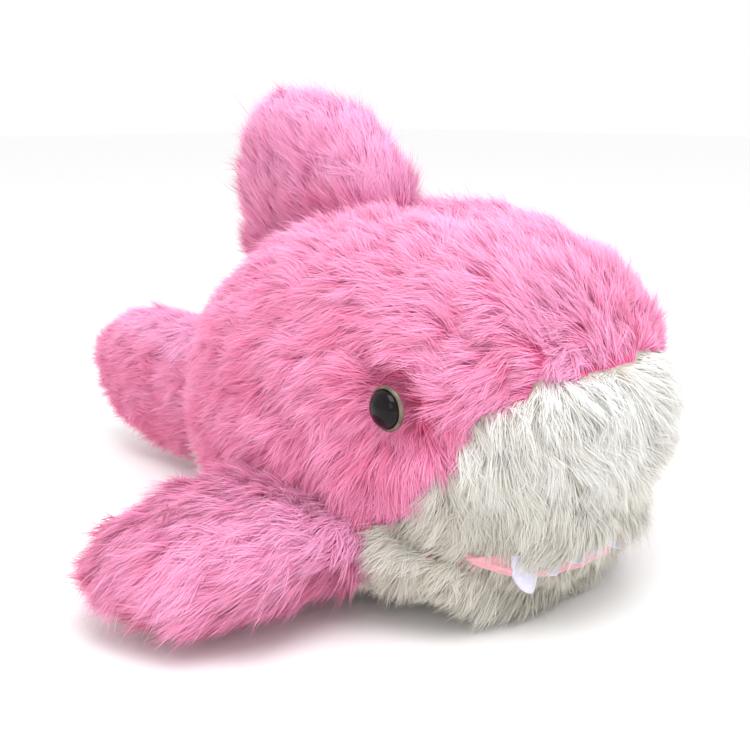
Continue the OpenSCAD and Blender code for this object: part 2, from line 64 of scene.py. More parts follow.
AZIMUTH, ELEVATION, DISTANCE = 46.5, 14.0, 0.475
NOSE_TO_TARGET, TARGET_HEIGHT = 0.1364, 0.066
LENS, SENSOR, SHIFT_UP = 54.5, 36.0, 0.0173
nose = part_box("muzzle")[1].x
TARGET = Vector((nose - NOSE_TO_TARGET, 0.0, TARGET_HEIGHT))
cam_data = bpy.data.cameras.new("camera")
cam_data.lens = LENS
cam_data.sensor_width = SENSOR
cam_data.shift_y = SHIFT_UP
cam_data.clip_start = 0.01
camera = bpy.data.objects.new("camera", cam_data)
bpy.context.scene.collection.objects.link(camera)
turn, rise = math.radians(AZIMUTH), math.radians(ELEVATION)
back = Vector((math.sin(turn) * math.cos(rise), -math.cos(turn) * math.cos(rise), math.sin(rise)))
camera.location = TARGET + back * DISTANCE
camera.rotation_mode = "QUATERNION"
camera.rotation_quaternion = (-back).to_track_quat("-Z", "Y")
bpy.context.scene.camera = camera
bpy.context.scene.view_settings.view_transform = "Standard"

# ---- Materials --------------------------------------------------------------


def new_material(name):
    material = bpy.data.materials.new(name)
    material.use_nodes = True
    tree = material.node_tree
    return material, tree, tree.nodes["Principled BSDF"]


def ramp(tree, stops):
    node = tree.nodes.new("ShaderNodeValToRGB")
    while len(node.color_ramp.elements) < len(stops):
        node.color_ramp.elements.new(0.5)
    for element, (place, colour) in zip(node.color_ramp.elements, stops):
        element.position = place
        element.color = (*colour, 1)
    return node


def pile_material(name, dark, light, sheen, tint):
    """Fur colour from the strand's tone (u), which holds its colour variation and also painted
    light and shade, and from the way up it (v), painted darker at the root as shade down in the
    pile.
    """
    material, tree, shader = new_material(name)
    uv = tree.nodes.new("ShaderNodeUVMap")
    uv.uv_map = "OFBake"
    split = tree.nodes.new("ShaderNodeSeparateXYZ")
    tree.links.new(uv.outputs["UV"], split.inputs[0])
    low, high = ramp(tree, dark), ramp(tree, light)
    mix = tree.nodes.new("ShaderNodeMix")
    mix.data_type = "RGBA"
    tree.links.new(split.outputs["Y"], low.inputs["Fac"])
    tree.links.new(split.outputs["Y"], high.inputs["Fac"])
    tree.links.new(split.outputs["X"], mix.inputs["Factor"])
    tree.links.new(low.outputs["Color"], mix.inputs[6])
    tree.links.new(high.outputs["Color"], mix.inputs[7])
    tree.links.new(mix.outputs[2], shader.inputs["Base Color"])
    shader.inputs["Roughness"].default_value = 0.7
    shader.inputs["Specular IOR Level"].default_value = 0.2
    shader.inputs["Sheen Weight"].default_value = sheen
    shader.inputs["Sheen Roughness"].default_value = 0.35
    shader.inputs["Sheen Tint"].default_value = (*tint, 1)
    return material


pink_pile = pile_material(
    "pink_pile",
    [(0.0, (0.60, 0.05, 0.17)), (0.45, (0.76, 0.13, 0.28)), (1.0, (0.86, 0.22, 0.40))],
    [(0.0, (0.90, 0.24, 0.50)), (0.45, (0.96, 0.42, 0.69)), (1.0, (1.0, 0.60, 0.85))],
    sheen=0.5, tint=(1.0, 0.86, 0.97),
)
white_pile = pile_material(
    "white_pile",
    [(0.0, (0.50, 0.46, 0.38)), (0.5, (0.62, 0.58, 0.50)), (1.0, (0.70, 0.67, 0.59))],
    [(0.0, (0.88, 0.87, 0.84)), (0.5, (0.95, 0.96, 0.95)), (1.0, (0.98, 0.99, 1.0))],
    sheen=0.3, tint=(0.95, 0.97, 1.0),
)


def cloth_material(name, low, high, scale, bump_depth, sheen=0.0):
    """Knitted, brushed or felted cloth: a fine cell pattern in colour and bump."""
    material, tree, shader = new_material(name)
    place = tree.nodes.new("ShaderNodeTexCoord")
    cells = tree.nodes.new("ShaderNodeTexNoise")
    cells.inputs["Scale"].default_value = scale
    cells.inputs["Detail"].default_value = 6
    cells.inputs["Roughness"].default_value = 0.7
    tree.links.new(place.outputs["Object"], cells.inputs["Vector"])
    tone = ramp(tree, [(0.3, low), (0.7, high)])
    tree.links.new(cells.outputs["Fac"], tone.inputs["Fac"])
    tree.links.new(tone.outputs["Color"], shader.inputs["Base Color"])
    bump = tree.nodes.new("ShaderNodeBump")
    bump.inputs["Strength"].default_value = 0.6
    bump.inputs["Distance"].default_value = bump_depth
    tree.links.new(cells.outputs["Fac"], bump.inputs["Height"])
    tree.links.new(bump.outputs["Normal"], shader.inputs["Normal"])
    shader.inputs["Roughness"].default_value = 0.9
    shader.inputs["Sheen Weight"].default_value = sheen
    return material


pink_backing = cloth_material(
    "pink_backing", (0.58, 0.05, 0.16), (0.78, 0.14, 0.30), scale=700, bump_depth=0.0004
)
white_backing = cloth_material(
    "white_backing", (0.40, 0.36, 0.29), (0.56, 0.52, 0.44), scale=700, bump_depth=0.0004
)
pink_lining = cloth_material(
    "pink_lining", (0.72, 0.30, 0.36), (0.86, 0.42, 0.48), scale=520, bump_depth=0.0005,
    sheen=0.4,
)
white_felt = cloth_material(
    "white_felt", (0.60, 0.57, 0.74), (0.78, 0.76, 0.90), scale=640, bump_depth=0.0006,
    sheen=0.5,
)

MOTTLED = 1.6  # the most roughness, against the least


def moulded_material(name, low, high, roughness, coat):
    """Moulded plastic with faint mottling in colour and gloss; roughness is the least there is."""
    material, tree, shader = new_material(name)
    place = tree.nodes.new("ShaderNodeTexCoord")
    cloud = tree.nodes.new("ShaderNodeTexNoise")
    cloud.inputs["Scale"].default_value = 260
    tree.links.new(place.outputs["Object"], cloud.inputs["Vector"])
    tone = ramp(tree, [(0.35, low), (0.65, high)])
    tree.links.new(cloud.outputs["Fac"], tone.inputs["Fac"])
    tree.links.new(tone.outputs["Color"], shader.inputs["Base Color"])
    gloss = tree.nodes.new("ShaderNodeMapRange")
    gloss.inputs["To Min"].default_value = roughness
    gloss.inputs["To Max"].default_value = roughness * MOTTLED
    tree.links.new(cloud.outputs["Fac"], gloss.inputs["Value"])
    tree.links.new(gloss.outputs["Result"], shader.inputs["Roughness"])
    shader.inputs["Specular IOR Level"].default_value = 0.2
    shader.inputs["Coat Weight"].default_value = coat
    shader.inputs["Coat Roughness"].default_value = 0.03
    return material


eye_black = moulded_material(
    "eye_black", (0.003, 0.002, 0.003), (0.008, 0.005, 0.006), roughness=0.05, coat=0.0
)
eye_ring = moulded_material(
    "eye_ring", (0.09, 0.062, 0.042), (0.18, 0.137, 0.098), roughness=0.22, coat=0.5
)

# ---- Small mesh tools --------------------------------------------------------


def vertices_of(obj, what="co"):
    co = np.empty(len(obj.data.vertices) * 3, np.float32)
    obj.data.vertices.foreach_get(what, co)
    return co.reshape(-1, 3).astype(float)


def set_vertices(obj, co):
    obj.data.vertices.foreach_set("co", co.astype(np.float32).ravel())
    obj.data.update()


def link(obj):
    bpy.context.scene.collection.objects.link(obj)
    return obj


def apply_modifiers(obj):
    deps = bpy.context.evaluated_depsgraph_get()
    mesh = bpy.data.meshes.new_from_object(obj.evaluated_get(deps))
    obj.modifiers.clear()
    obj.data = mesh


def smooth(obj, times):
    relax = obj.modifiers.new("relax", "SMOOTH")
    relax.factor = 0.5
    relax.iterations = times
    apply_modifiers(obj)


def subdivide(obj, levels=1, simple=False):
    finer = obj.modifiers.new("finer", "SUBSURF")
    finer.levels = finer.render_levels = levels
    finer.subdivision_type = "SIMPLE" if simple else "CATMULL_CLARK"
    apply_modifiers(obj)


def shade_smooth(obj):
    obj.data.polygons.foreach_set("use_smooth", np.ones(len(obj.data.polygons), bool))


def joined_copy(names, name):
    """One new mesh from copies of CAD nodes."""
    points, faces, count = [], [], 0
    for n in names:
        co = vertices_of(nodes[n])
        points.append(co)
        faces += [[v + count for v in p.vertices] for p in nodes[n].data.polygons]
        count += len(co)
    mesh = bpy.data.meshes.new(name)
    mesh.from_pydata(np.concatenate(points), [], faces)
    return link(bpy.data.objects.new(name, mesh))


def keep_largest(obj):
    """Removes every loose piece of the mesh but the largest."""
    bm = bmesh.new()
    bm.from_mesh(obj.data)
    left, loose = set(bm.verts), []
    while left:
        start = left.pop()
        found, stack = [start], [start]
        while stack:
            for edge in stack.pop().link_edges:
                for v in edge.verts:
                    if v in left:
                        left.discard(v)
                        found.append(v)
                        stack.append(v)
        loose.append(found)
    loose.sort(key=len)
    for group in loose[:-1]:
        bmesh.ops.delete(bm, geom=group, context="VERTS")
    bm.to_mesh(obj.data)
    bm.free()


def tree_of(names):
    obj = joined_copy(names, "measure")
    found = BVHTree.FromPolygons(
        [v.co for v in obj.data.vertices], [list(p.vertices) for p in obj.data.polygons]
    )
    bpy.data.objects.remove(obj)
    return found


def kd_of(points):
    tree = kdtree.KDTree(len(points))
    for i, p in enumerate(points):
        tree.insert(p, i)
    tree.balance()
    return tree


def gaps_to(tree, points):
    """Each point's distance to the nearest point in a tree of points."""
    return np.array([tree.find(p)[2] for p in points])


def rising(values, start, run):
    """0 up to start, then up to 1 over run."""
    return np.clip((values - start) / run, 0, 1)


def falling(values, start, run):
    """0 down to start, then up to 1 over run below it."""
    return np.clip((start - values) / run, 0, 1)


def hill(distance, half):
    """1 at no distance, falling smoothly to about a third at half."""
    return np.exp(-((distance / half) ** 2))


def on_root(obj, material):
    obj.data.materials.append(material)
    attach(obj, "root")


def nearest_of(trees, points):
    """Which of the trees each point is nearest to."""
    far = np.array([[t.find_nearest(Vector(p))[3] for t in trees] for p in points])
    return far.argmin(1)


FRAMES = 20
PRESSURE = 4.0


def puff(obj, cap):
    """Cloth pressure fills the skin like stuffing, and no point moves further than cap."""
    before = vertices_of(obj)
    cloth = obj.modifiers.new("cloth", "CLOTH")
    cloth.settings.use_pressure = True
    cloth.settings.uniform_pressure_force = PRESSURE
    cloth.settings.effector_weights.gravity = 0
    cloth.point_cache.frame_start = 1
    cloth.point_cache.frame_end = FRAMES
    for frame_number in range(1, FRAMES + 1):
        bpy.context.scene.frame_set(frame_number)
    apply_modifiers(obj)
    bpy.context.scene.frame_set(1)
    move = vertices_of(obj) - before
    far = np.linalg.norm(move, axis=1, keepdims=True)
    set_vertices(obj, before + move * np.minimum(1, cap / np.maximum(far, 1e-9)))


def unit(v):
    return v / np.maximum(np.linalg.norm(v, axis=-1, keepdims=True), 1e-12)


# Waves of smooth noise: three long, five middling and six short, by wavelength in
# metres and size
WAVES = [(0.11, 1.0)] * 3 + [(0.05, 0.7)] * 5 + [(0.025, 0.4)] * 6
WAVES_SCALE = 2.2  # brings their sum to about -1 to 1
rng = np.random.default_rng(7)
waves = [
    (rng.normal(size=3) * 2 * math.pi / wavelength, rng.uniform(0, 2 * math.pi), size)
    for wavelength, size in WAVES
]


def wander(points, which):
    """Smooth noise over space, about -1 to 1; which picks an independent field."""
    total = np.zeros(len(points))
    for k, (wave, phase, size) in enumerate(waves):
        total += size * np.sin(points @ np.roll(wave, which) + phase * (which + 1) + k * which)
    return total / WAVES_SCALE


# ---- Skins: the stuffed backing cloth under the pile ---------------------------

PANELS = ["back_left", "back_right", "belly_and_chin", "muzzle"]
PINK_PANELS, WHITE_PANELS = [0, 1], [2, 3]
LININGS = ["palate_lining", "chin_lining"]
MOUTH = len(PANELS)  # the owner number of what belongs to the linings
BODY_VOXEL, FIN_VOXEL = 5 * MM, 4 * MM
BODY_CAP, FIN_CAP = 2.5 * MM, 2 * MM  # the most that cloth pressure moves a point
# In MM: how far the backing cloth lies inside the CAD's surface, which is the pile's
PILE_INSET, CHIN_LESS, CHIN_FRONT_MORE, LINING_INSET, FIN_INSET = 8.5, 4.8, 7.0, 1.5, 5.5
PILE_OUT = 6  # in MM: from the backing cloth out to where its panel is looked up
LUMP, SMALL_LUMP, FIN_LUMP = 1.3 * MM, 0.5 * MM, 1.0 * MM
EYE_HOLLOW, EYE_HOLLOW_HALF = 2.5 * MM, 11 * MM
SEAM_DEPTH, SEAM_HALF = 1.4 * MM, 4 * MM
panel_trees = [tree_of([n]) for n in PANELS]
lining_tree = tree_of(LININGS)


def voxels(names, name, size):
    obj = joined_copy(names, name)
    remesh = obj.modifiers.new("remesh", "REMESH")
    remesh.mode = "VOXEL"
    remesh.voxel_size = size
    apply_modifiers(obj)
    keep_largest(obj)
    smooth(obj, 3)
    return obj


def away(centre, points):
    return np.linalg.norm(points - np.array(centre), axis=1)


def mirrored(points):
    return [(x, -y, z) for x, y, z in points]


def line_distance(points, line):
    """Distance from each point to a polyline."""
    best = np.full(len(points), 1e9)
    for a, b in zip(line, line[1:]):
        a, b = np.array(a), np.array(b)
        t = np.clip((points - a) @ (b - a) / ((b - a) @ (b - a)), 0, 1)
        best = np.minimum(best, np.linalg.norm(points - a - t[:, None] * (b - a), axis=1))
    return best


eyes = {side: sum(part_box("eye_ring_" + side), Vector()) / 2 for side in ("left", "right")}
eye = eyes["right"]

# Creases where the stuffed cloth folds, as places from the right eye and from
# the nose, each with its depth and half-width
E, N = np.array(eye), np.array([nose, 0, eye.z])
CREASES = [
    (E, [(-24, 0, 17), (-15, 0, 15), (-8, 0, 12), (-4, 2, 6)], 5.5, 7),
    (E, [(-12, -3, -18), (0, -1, -12), (12, 3, -11)], 2.5, 7),
    (N, [(-39, -51, 31), (-32, -50, 26), (-22, -45, 19), (-21, -48, 13)], 3.5, 6),
    (N, [(-16, -16, 30), (-15, -25, 25), (-13, -30, 20)], 2.5, 5),
    (E, [(-74, 0, -6), (-70, 0, 3), (-66, 0, 12)], 2.5, 6),
    (N, [(-58, -67, -44), (-44, -58, -49), (-33, -46, -55), (-27, -36, -60)], 4.0, 5),
]
creases = []
for origin, places, depth, half in CREASES:
    line = [tuple(origin + np.array(p) * MM) for p in places]
    creases += [(line, depth * MM, half * MM), (mirrored(line), depth * MM, half * MM)]

body = voxels(PANELS + LININGS + ["body_filling", "chin_filling"], "body_skin", BODY_VOXEL)
co, no = vertices_of(body), vertices_of(body, "normal")
in_mouth = nearest_of(panel_trees + [lining_tree], co) == MOUTH
chin = rising(co[:, 0], nose - 78 * MM, 20 * MM) * (co[:, 2] < 34 * MM)
chin_front = rising(co[:, 0], nose - 42 * MM, 14 * MM) * (co[:, 2] < 28 * MM)
under_pile = PILE_INSET - CHIN_LESS * chin + CHIN_FRONT_MORE * chin_front
inset = np.where(in_mouth, LINING_INSET, under_pile) * MM
set_vertices(body, co - no * inset[:, None])
smooth(body, 2)
puff(body, BODY_CAP)
subdivide(body)

# Lumps, creases, hollows round the eyes and grooves along the seams
co, no = vertices_of(body), vertices_of(body, "normal")
outside = co + no * PILE_OUT * MM
owner = nearest_of(panel_trees + [lining_tree], outside)
push = LUMP * wander(co, 0) + SMALL_LUMP * wander(co * 2.3, 4)
for line, depth, half in creases:
    push -= depth * hill(line_distance(outside, line), half)
for place in eyes.values():
    push -= EYE_HOLLOW * hill(away(place, outside), EYE_HOLLOW_HALF)
border = np.zeros(len(co))
for i in range(MOUTH):
    mine = kd_of(co[owner == i])
    others = np.where((owner != i) & (owner < MOUTH))[0]
    border[others] = np.maximum(border[others], hill(gaps_to(mine, co[others]), SEAM_HALF))
push -= SEAM_DEPTH * border
push[owner == MOUTH] = 0
set_vertices(body, co + no * push[:, None])
smooth(body, 1)
shade_smooth(body)

FINS = {
    "pectoral_left": ["pectoral_left_top", "pectoral_left_underside", "pectoral_left_filling"],
    "pectoral_right": ["pectoral_right_top", "pectoral_right_underside", "pectoral_right_filling"],
    "dorsal_fin": ["dorsal_side_left", "dorsal_side_right", "dorsal_filling"],
    "tail_fin": ["tail_side_left", "tail_side_right", "tail_filling"],
}
slope = next(j["axis"] for j in frame["joints"] if j["child"] == "dorsal_fin")
# For each fin: the way out of the body, and the axis that its thickness is along
OUT = {
    "pectoral_left": ((0, 1, 0), 2),
    "pectoral_right": ((0, -1, 0), 2),
    "dorsal_fin": ((-slope[2], 0, slope[0]), 1),
    "tail_fin": ((-1, 0, 0), 1),
}
ROOT_RUN = 34 * MM  # the length of a fin that is filled out
ROOT_PULL = 30 * MM  # how far its root is pulled into the body
FULL_AT = 0.55  # the share of ROOT_RUN where the fin has its own section again
THICKEN_MOST, LENGTHEN_MOST = 3.0, 1.3  # the most that filling out scales a section by
# Where sections are measured: how many across and along, and the half-width of each one
CHORD_STEPS, RUN_STEPS, BAND = 17, 12, 0.07


def sewn_on(obj, fin):
    """Fills out the fin's thin root and lets it reach into the body it is sewn to."""
    out, thick = OUT[fin]
    out = unit(np.array(out, float))
    co = vertices_of(obj)
    far = (co - np.array(hinges[fin])) @ out
    chord = ({0, 1, 2} - {thick, int(np.abs(out).argmax())}).pop()
    ends = np.linspace(co[:, chord].min(), co[:, chord].max(), CHORD_STEPS)
    start = np.array([far[np.abs(co[:, chord] - c) < ends[1] - ends[0]].min() for c in ends])
    share = np.clip((far - np.interp(co[:, chord], ends, start)) / ROOT_RUN, 0, 1)
    for axis, most in ((thick, THICKEN_MOST), (chord, LENGTHEN_MOST)):
        places = np.linspace(0, 1, RUN_STEPS)
        middles, halves = [], []
        for p in places:
            band = co[np.abs(share - p) < BAND, axis]
            middles.append((band.max() + band.min()) / 2)
            halves.append((band.max() - band.min()) / 2)
        full = np.interp(FULL_AT, places, halves)
        widen = np.interp(share, places, np.clip(full / np.array(halves), 1, most))
        widen = np.where(share < FULL_AT, widen, 1)
        middle = np.interp(share, places, middles)
        co[:, axis] = middle + (co[:, axis] - middle) * widen
    co -= out * (ROOT_PULL * (1 - share) ** 2)[:, None]
    set_vertices(obj, co)
    smooth(obj, 4)


fins = {}
for fin, names in FINS.items():
    skin = voxels(names, fin + "_skin", FIN_VOXEL)
    set_vertices(skin, vertices_of(skin) - vertices_of(skin, "normal") * FIN_INSET * MM)
    smooth(skin, 2)
    puff(skin, FIN_CAP)
    sewn_on(skin, fin)
    subdivide(skin)
    co, no = vertices_of(skin), vertices_of(skin, "normal")
    set_vertices(skin, co + no * (FIN_LUMP * wander(co, 5))[:, None])
    shade_smooth(skin)
    fins[fin] = skin

# ---- Pile: every strand is a tapered, bent blade ------------------------------


def scatter(obj, spacing_area, gen, weight=None):
    """Random points over a mesh with their normals, one per spacing_area on average."""
    mesh = obj.data
    mesh.calc_loop_triangles()
    tris = np.empty(len(mesh.loop_triangles) * 3, np.int32)
    mesh.loop_triangles.foreach_get("vertices", tris)
    tris = tris.reshape(-1, 3)
    co, no = vertices_of(obj), vertices_of(obj, "normal")
    a, b, c = co[tris[:, 0]], co[tris[:, 1]], co[tris[:, 2]]
    area = np.linalg.norm(np.cross(b - a, c - a), axis=1) / 2
    if weight is not None:
        area = area * weight((a + b + c) / 3)
    count = int(area.sum() / spacing_area)
    places = (np.arange(count) + gen.random(count)) / count
    pick = np.minimum(np.searchsorted(np.cumsum(area) / area.sum(), places), len(area) - 1)
    r, s = gen.random((2, count))
    flip = r + s > 1
    r[flip], s[flip] = 1 - r[flip], 1 - s[flip]
    share = np.stack([1 - r - s, r, s], 1)[:, :, None]
    corners = tris[pick]
    return (co[corners] * share).sum(1), unit((no[corners] * share).sum(1))


def near_eye(points, reach):
    return sum(hill(away(e, points), reach) for e in eyes.values())


def painted_crease_shade(points):
    """Painted shade: how much darker the pile is painted down in the creases and round the eyes.
    """
    shade = 0.22 * near_eye(points, 17 * MM)
    for line, depth, half in creases:
        shade += 0.10 * depth / MM * hill(line_distance(points, line), half * 1.2)
    return np.minimum(shade, 0.5)


STEPS = np.array([0.0, 0.3, 0.66, 1.0])  # where along its length a strand has a point
BLADE_WIDTHS = [0.9, 1.0, 0.72]  # its width at each point but the tip, as a share of WIDTH
WIDTH = 0.22 * MM
TUFT_AREA = 30 * MM * MM  # of cloth for each tuft
LOCK_AREA = 2.1 * MM * MM  # of cloth for each lock
PER_LOCK = 8  # strands
LOCK_ROOT = 1.7  # in MM: the radius that a lock's strands are rooted in
BEND_ALONG, BEND_DOWN, SAG = 0.30, 0.24, 0.08
GATHER_MOST, TO_TUFT = 0.36, 0.75
STRAY_SHARE, STRAY_LOOSE, LOCK_LOOSE = 0.10, 1.6, 0.95
OFF_FLOOR, OFF_FLOOR_MORE = 0.3 * MM, 0.8 * MM
LIGHT_FROM_ABOVE, LIGHT_FROM_FRONT = 0.36, 0.22


def grow(obj, seed, comb, length, lean, base, weight=None, inside=None):
    """Strands over obj in three levels: tufts gather locks, and locks gather strands.
    Returns the strands' points (n, 4, 3), their across directions, tones and widths."""
    gen = np.random.default_rng(seed)
    tuft, tuft_normal = scatter(obj, TUFT_AREA, gen)
    lock, lock_normal = scatter(obj, LOCK_AREA, gen, weight)
    if inside is not None:
        keep = ~inside(lock)
        lock, lock_normal = lock[keep], lock_normal[keep]
    tufts = kd_of(tuft)
    owner = np.array([tufts.find(p)[1] for p in lock])

    def line(points, normals, bearing, rise, size):
        """The centre line of a tuft or lock, bending over from its root."""
        flow = comb(points)
        flow = unit(flow - normals * (flow * normals).sum(1, keepdims=True))
        side = np.cross(normals, flow)
        along = flow * np.cos(bearing)[:, None] + side * np.sin(bearing)[:, None]
        tilt = lean(points) + rise
        out = normals * np.cos(tilt)[:, None] + along * np.sin(tilt)[:, None]
        s = STEPS[None, :, None]
        bend = (along * BEND_ALONG - normals * BEND_DOWN)[:, None, :] + np.array([0, 0, -SAG])
        return size[:, None, None] * (s * out[:, None, :] + s * s * bend)

    n, m = len(tuft), len(lock)
    swirl = wander(tuft, 1) * 0.5 + gen.normal(size=n) * 0.26
    rise = wander(tuft, 2) * 0.13 + gen.normal(size=n) * 0.11
    size = length(tuft) * (1 + gen.normal(size=n) * 0.07)
    tuft_path = line(tuft, tuft_normal, swirl, rise, size)
    lock_size = length(lock) * (1 + gen.normal(size=m) * 0.12)
    own_path = line(
        lock, lock_normal, swirl[owner] + gen.normal(size=m) * 0.26,
        rise[owner] + gen.normal(size=m) * 0.15, lock_size,
    )
    s = STEPS[None, :, None]
    gather = gen.uniform(0.0, GATHER_MOST, m)[:, None, None] * s ** 1.3
    offset = lock - tuft[owner]
    tuft_line = tuft_path[owner] * (lock_size / size[owner])[:, None, None]
    lock_path = own_path * (1 - gather) + (tuft_line - offset[:, None, :] * TO_TUFT) * gather

    k = np.repeat(np.arange(m), PER_LOCK)
    count = len(k)
    across = unit(np.cross(lock_normal, unit(lock_path[:, -1])))
    other = np.cross(lock_normal, across)
    spot = np.sqrt(gen.random(count)) * LOCK_ROOT * MM
    angle = gen.random(count) * 2 * math.pi
    shift = across[k] * (np.cos(angle) * spot)[:, None]
    shift = shift + other[k] * (np.sin(angle) * spot)[:, None]
    stray = gen.random(count) < STRAY_SHARE
    hold = np.where(stray, gen.uniform(-0.5, 0.2, count), gen.uniform(-0.1, 0.5, count))
    scale = 1 + gen.normal(size=count) * 0.11 + stray * 0.06
    path = lock_path[k] * scale[:, None, None]
    path += shift[:, None, :] * (1 - hold[:, None, None] * s)
    loose = np.where(stray, STRAY_LOOSE, LOCK_LOOSE) * MM * (lock_size[k] / (12 * MM))
    path += (gen.normal(size=(count, 3)) * loose[:, None])[:, None, :] * s ** 1.5
    points = lock[k][:, None, :] + path
    lowest = OFF_FLOOR + OFF_FLOOR_MORE * gen.random(count)[:, None]
    points[:, :, 2] = np.maximum(points[:, :, 2], lowest)
    facing = across[k] + gen.normal(size=(count, 3)) * 0.35
    tone = base(lock) + LIGHT_FROM_ABOVE * lock_normal[:, 2]
    tone = tone + LIGHT_FROM_FRONT * lock_normal[:, 0]
    tone += 0.10 * wander(lock, 3) + gen.normal(size=m) * 0.08
    # painted shade in the creases and round the eyes
    tone -= painted_crease_shade(lock)
    tone = tone[k] + gen.normal(size=count) * 0.07
    return points, facing, np.clip(tone, 0, 1), WIDTH * (1 + gen.normal(size=count) * 0.15)


def blades(points, facing, widths):
    """Vertices of the blades: two at each step and one at the tip."""
    direction = unit(points[:, 1:] - points[:, :-1])
    vertices = np.empty((len(points), 7, 3))
    for i, share in enumerate(BLADE_WIDTHS):
        d = direction[:, i]
        side = unit(facing - d * (facing * d).sum(1, keepdims=True))
        half = side * (widths * share / 2)[:, None]
        vertices[:, 2 * i] = points[:, i] - half
        vertices[:, 2 * i + 1] = points[:, i] + half
    vertices[:, 6] = points[:, 3]
    return vertices


# A blade's corners, two quads and then the triangle at its tip, and how far up each one is
BLADE_LOOPS = np.array([0, 1, 3, 2, 2, 3, 5, 4, 4, 5, 6])
BLADE_V = STEPS[np.array([0, 0, 1, 1, 1, 1, 2, 2, 2, 2, 3])]
PER_PIECE = 39000  # blades


def pile_piece(name, vertices, tones, material):
    """One mesh of blades, with each one's tone and the way up it as its UV."""
    n = len(vertices)
    mesh = bpy.data.meshes.new(name)
    mesh.vertices.add(n * 7)
    mesh.vertices.foreach_set("co", vertices.astype(np.float32).ravel())
    loops = np.arange(n)[:, None] * 7 + BLADE_LOOPS[None]
    mesh.loops.add(n * 11)
    mesh.loops.foreach_set("vertex_index", loops.astype(np.int32).ravel())
    starts = np.arange(n)[:, None] * 11 + np.array([0, 4, 8])[None]
    mesh.polygons.add(n * 3)
    mesh.polygons.foreach_set("loop_start", starts.astype(np.int32).ravel())
    mesh.polygons.foreach_set("use_smooth", np.ones(n * 3, bool))
    mesh.update(calc_edges=True)
    uv = mesh.uv_layers.new(name="OFBake")
    co = np.empty((n, 11, 2), np.float32)
    co[:, :, 0] = 0.02 + 0.96 * tones[:, None]
    co[:, :, 1] = 0.02 + 0.96 * BLADE_V[None]
    uv.data.foreach_set("uv", co.ravel())
    mesh.materials.append(material)
    return link(bpy.data.objects.new(name, mesh))


def pile_pieces(name, vertices, tones, material):
    """The pile of one panel, in pieces along X that each stay a moderate mesh."""
    parts = max(1, math.ceil(len(vertices) / PER_PIECE))
    order = np.argsort(vertices[:, 0, 0], kind="stable")
    found = []
    for i, rows in enumerate(np.array_split(order, parts)):
        piece = pile_piece(f"{name}_{i + 1}", vertices[rows], tones[rows], material)
        found.append(piece)
    return found


# ---- Body pile ----------------------------------------------------------------

co = vertices_of(body)
outside = co + vertices_of(body, "normal") * PILE_OUT * MM
body_owner = nearest_of(panel_trees + [lining_tree], outside)
body_kd = kd_of(co)


def owner_at(points):
    return np.array([body_owner[body_kd.find(p)[1]] for p in points])


mouth_kd = kd_of(co[body_owner == MOUTH])


white_kd = kd_of(co[np.isin(body_owner, WHITE_PANELS)])
pink_kd = kd_of(co[np.isin(body_owner, PINK_PANELS)])


def to_seam(points, other):
    """1 at the seam to the other colour, falling to 0 away from it."""
    return hill(gaps_to(other, points), 6 * MM)


BODY_PILE, FIN_PILE = 11.0 * MM, 11.5 * MM


def pink_comb(p):
    """The way the pink pile lies: back along the body, and away from the eyes."""
    front = rising(p[:, 0], nose - 75 * MM, 50 * MM)
    flow = np.zeros((len(p), 3))
    flow[:, 0] = -1
    flow[:, 1] = np.sign(p[:, 1]) * 0.25 * front
    flow[:, 2] = -0.45 + 0.85 * front * rising(p[:, 2], 70 * MM, 30 * MM)
    for e in eyes.values():
        apart = p - np.array(e)
        pull = hill(np.linalg.norm(apart, axis=1), 24 * MM)
        flow += unit(apart) * (pull * 1.8)[:, None]
    return flow


def white_comb(p):
    """The way the white pile lies: down and back, and outward on the chin."""
    forward = rising(p[:, 0], nose - 75 * MM, 75 * MM)
    low = falling(p[:, 2], 34 * MM, 10 * MM) * forward
    flow = np.zeros((len(p), 3))
    flow[:, 0] = -0.7 + 0.3 * forward + 0.5 * low
    flow[:, 1] = np.sign(p[:, 1]) * (0.15 + 0.35 * low)
    flow[:, 2] = -0.85
    return flow


def pile_length(p):
    """Shorter round the eyes, on the lower lip, and underneath behind the chin."""
    base = np.full(len(p), BODY_PILE)
    base *= 1 - 0.62 * np.clip(near_eye(p, 12 * MM), 0, 1)
    chin = p[:, 0] > nose - 70 * MM
    lower = falling(p[:, 2], 36 * MM, 6 * MM)
    base *= 1 - 0.5 * lower * hill(gaps_to(mouth_kd, p), 9 * MM)
    return base * np.where(chin, 1, 0.55 + 0.45 * np.clip(p[:, 2] / (16 * MM), 0, 1))


def pink_length(p):
    return pile_length(p) * (1 - 0.42 * to_seam(p, white_kd))


def white_length(p):
    return pile_length(p) * (1 - 0.15 * to_seam(p, pink_kd))


def pink_lean(p):
    return 0.90 + 0.22 * np.clip(near_eye(p, 14 * MM), 0, 1)


def white_lean(p):
    return 0.92 - 0.32 * to_seam(p, pink_kd)


def pink_tone(p):
    return np.full(len(p), 0.38)


# Painted shade: the white pile is painted darker and creamier towards the bottom, where the chin
# is in shade
def white_tone_shaded_low(p):
    return 0.42 - 0.45 * falling(p[:, 2], 75 * MM, 50 * MM)


def fin_tone_lit_above(p):
    """Painted light: paler above this height, on the dorsal fin and the top of the tail, as if lit
    from above.
    """
    return np.where(p[:, 2] < 66 * MM, 0.44, 0.78)


def growing(panels):
    """How thickly the pile grows: on these panels, off the eyes, and thin underneath."""
    def weight(p):
        mine = np.isin(owner_at(p), panels) & (near_eye(p, 6 * MM) < 0.28)
        return mine * np.where(p[:, 2] < 9 * MM, 0.45, 1.0)
    return weight


def depth_field(obj):
    """The mesh's points as a tree, with their positions and outward normals."""
    co = vertices_of(obj)
    return kd_of(co), co, vertices_of(obj, "normal")


